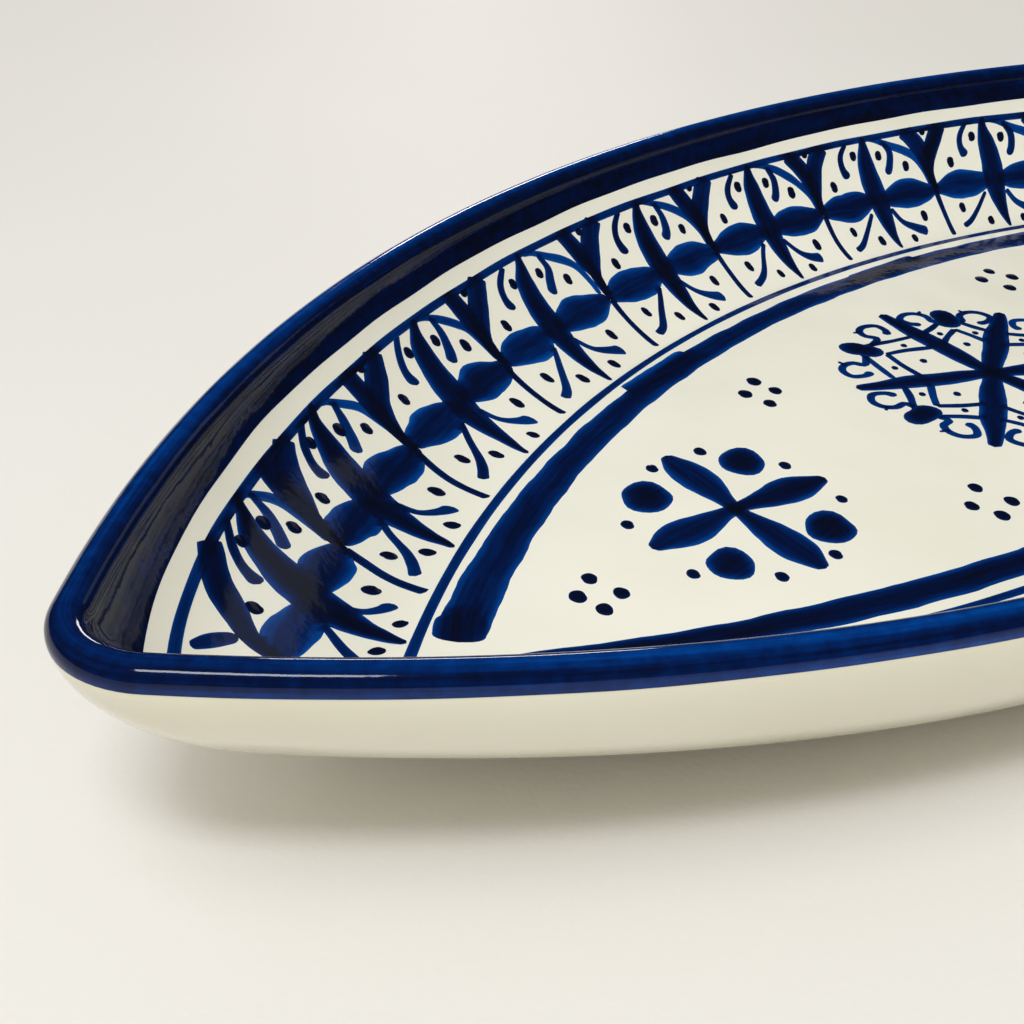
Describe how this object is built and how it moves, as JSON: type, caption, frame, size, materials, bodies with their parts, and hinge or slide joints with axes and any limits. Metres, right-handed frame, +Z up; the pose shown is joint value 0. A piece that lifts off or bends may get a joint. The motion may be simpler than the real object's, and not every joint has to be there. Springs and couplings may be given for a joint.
{
  "type": "pointed oval ceramic dish",
  "caption": "Pointed-oval, boat-shaped glazed earthenware serving dish with a rolled blue lip, flaring painted wall, flat floor and a low foot ring.",
  "frame": {"origin": "centre of the flat underside of the foot ring, which the dish stands on", "axes": "+X along the dish's length towards one pointed end, +Y across its width, +Z up out of the dish"},
  "size_m": [0.4, 0.178, 0.0404],
  "materials": {
    "clay": "matt unglazed earthenware",
    "white_glaze": "glossy cream-white tin glaze",
    "outside_glaze": "glossy cream-white tin glaze",
    "cobalt_band": "glossy cobalt blue, thinner and lighter along the crest",
    "cobalt_paint": "glossy translucent cobalt brush strokes",
    "dark_cobalt_paint": "glossy dense cobalt brush strokes",
    "ink_dots": "glossy blue-black dabs, slightly raised"
  },
  "bodies": {
    "root": {"clay_body": "clay", "foot_ring": "clay", "inside_glaze": "white_glaze", "outside_glaze": "outside_glaze", "rim_band": "cobalt_band", "border_line": "cobalt_paint", "divider_strokes": "cobalt_paint", "arch_strokes": "cobalt_paint", "stem_strokes": "dark_cobalt_paint", "oval_strokes": "cobalt_paint", "leaf_strokes": "dark_cobalt_paint", "curl_strokes": "cobalt_paint", "club_strokes": "cobalt_paint", "border_dots": "ink_dots", "thin_line": "cobalt_paint", "floor_band": "cobalt_paint", "medallion_petals": "dark_cobalt_paint", "medallion_lattice": "cobalt_paint", "medallion_curls": "cobalt_paint", "medallion_dabs": "ink_dots", "medallion_dots": "ink_dots", "flower_petals": "dark_cobalt_paint", "flower_dabs": "cobalt_paint", "flower_dots": "ink_dots", "cluster_dots": "ink_dots"}
  },
  "joints": []
}
